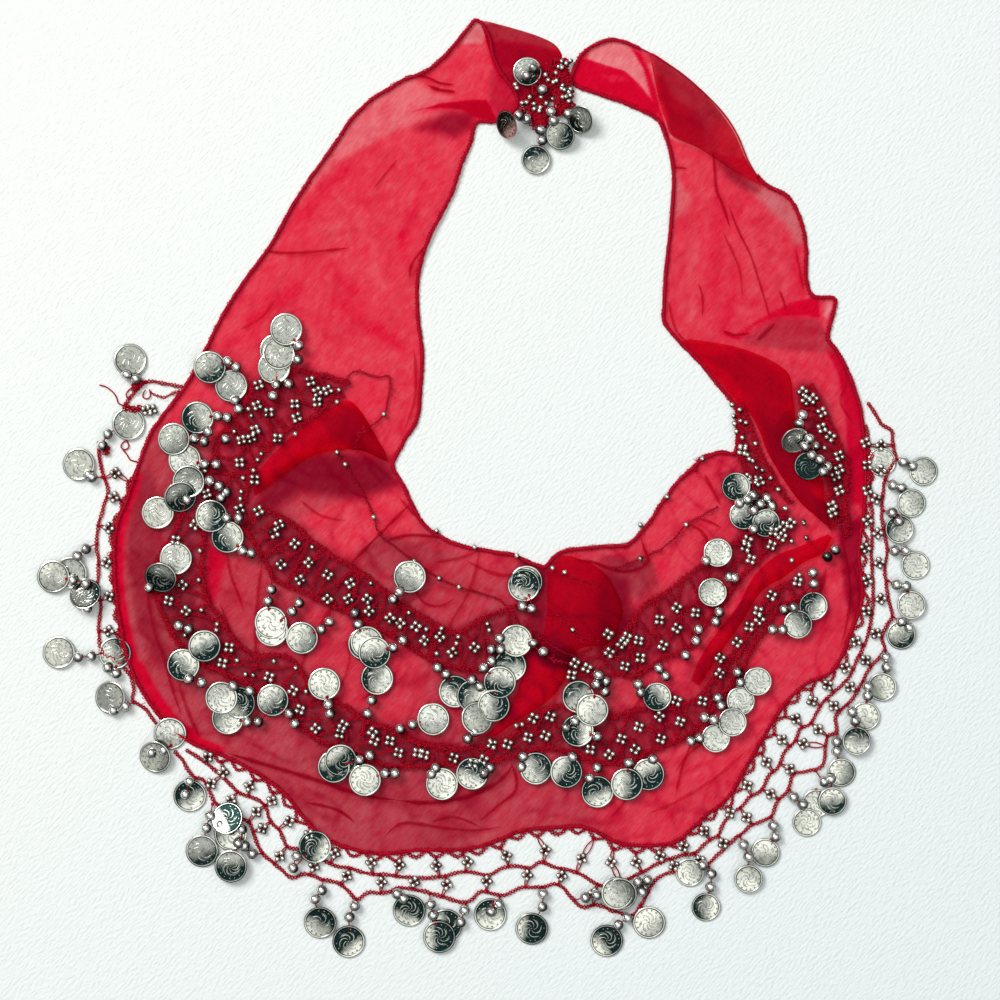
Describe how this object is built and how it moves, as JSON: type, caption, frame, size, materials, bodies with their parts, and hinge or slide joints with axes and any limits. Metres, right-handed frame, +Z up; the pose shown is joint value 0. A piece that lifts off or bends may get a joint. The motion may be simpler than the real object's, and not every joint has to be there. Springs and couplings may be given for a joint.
{
  "type": "belly dance hip scarf",
  "caption": "Crescent hip scarf of sheer chiffon, laid flat as a ring with its ties meeting, with crocheted borders, beads and coin drops to tie round the hips.",
  "frame": {"origin": "centre of the plan box of the laid scarf, on the surface it lies on", "axes": "+Z up from the surface, +Y from the wide middle of the crescent towards the tie ends, +X to the right seen from above"},
  "size_m": [0.5227, 0.5432, 0.0114],
  "materials": {
    "chiffon": "sheer crinkled chiffon, clear red",
    "thread": "matt crochet thread, dark crimson",
    "coins": "bright silver-toned plating"
  },
  "bodies": {
    "root": {"tie_left": "chiffon", "body": "chiffon", "tie_right": "chiffon", "tie_left_turn": "chiffon", "tie_right_turn": "chiffon", "fold_left": "chiffon", "fold_centre": "chiffon", "fold_right": "chiffon", "fold_right_return": "chiffon", "net_left": "thread", "net_bottom": "thread", "lace_upper_left": "thread", "lace_upper_middle": "thread", "lace_upper_right": "thread", "lace_tie_inner": "thread", "lace_tie_outer": "thread", "lace_lower": "thread", "waist_chain": "thread", "knot_fringe": "thread", "fringe_left": "coins", "fringe_left_end": "coins", "fringe_bottom": "coins"}
  },
  "joints": []
}
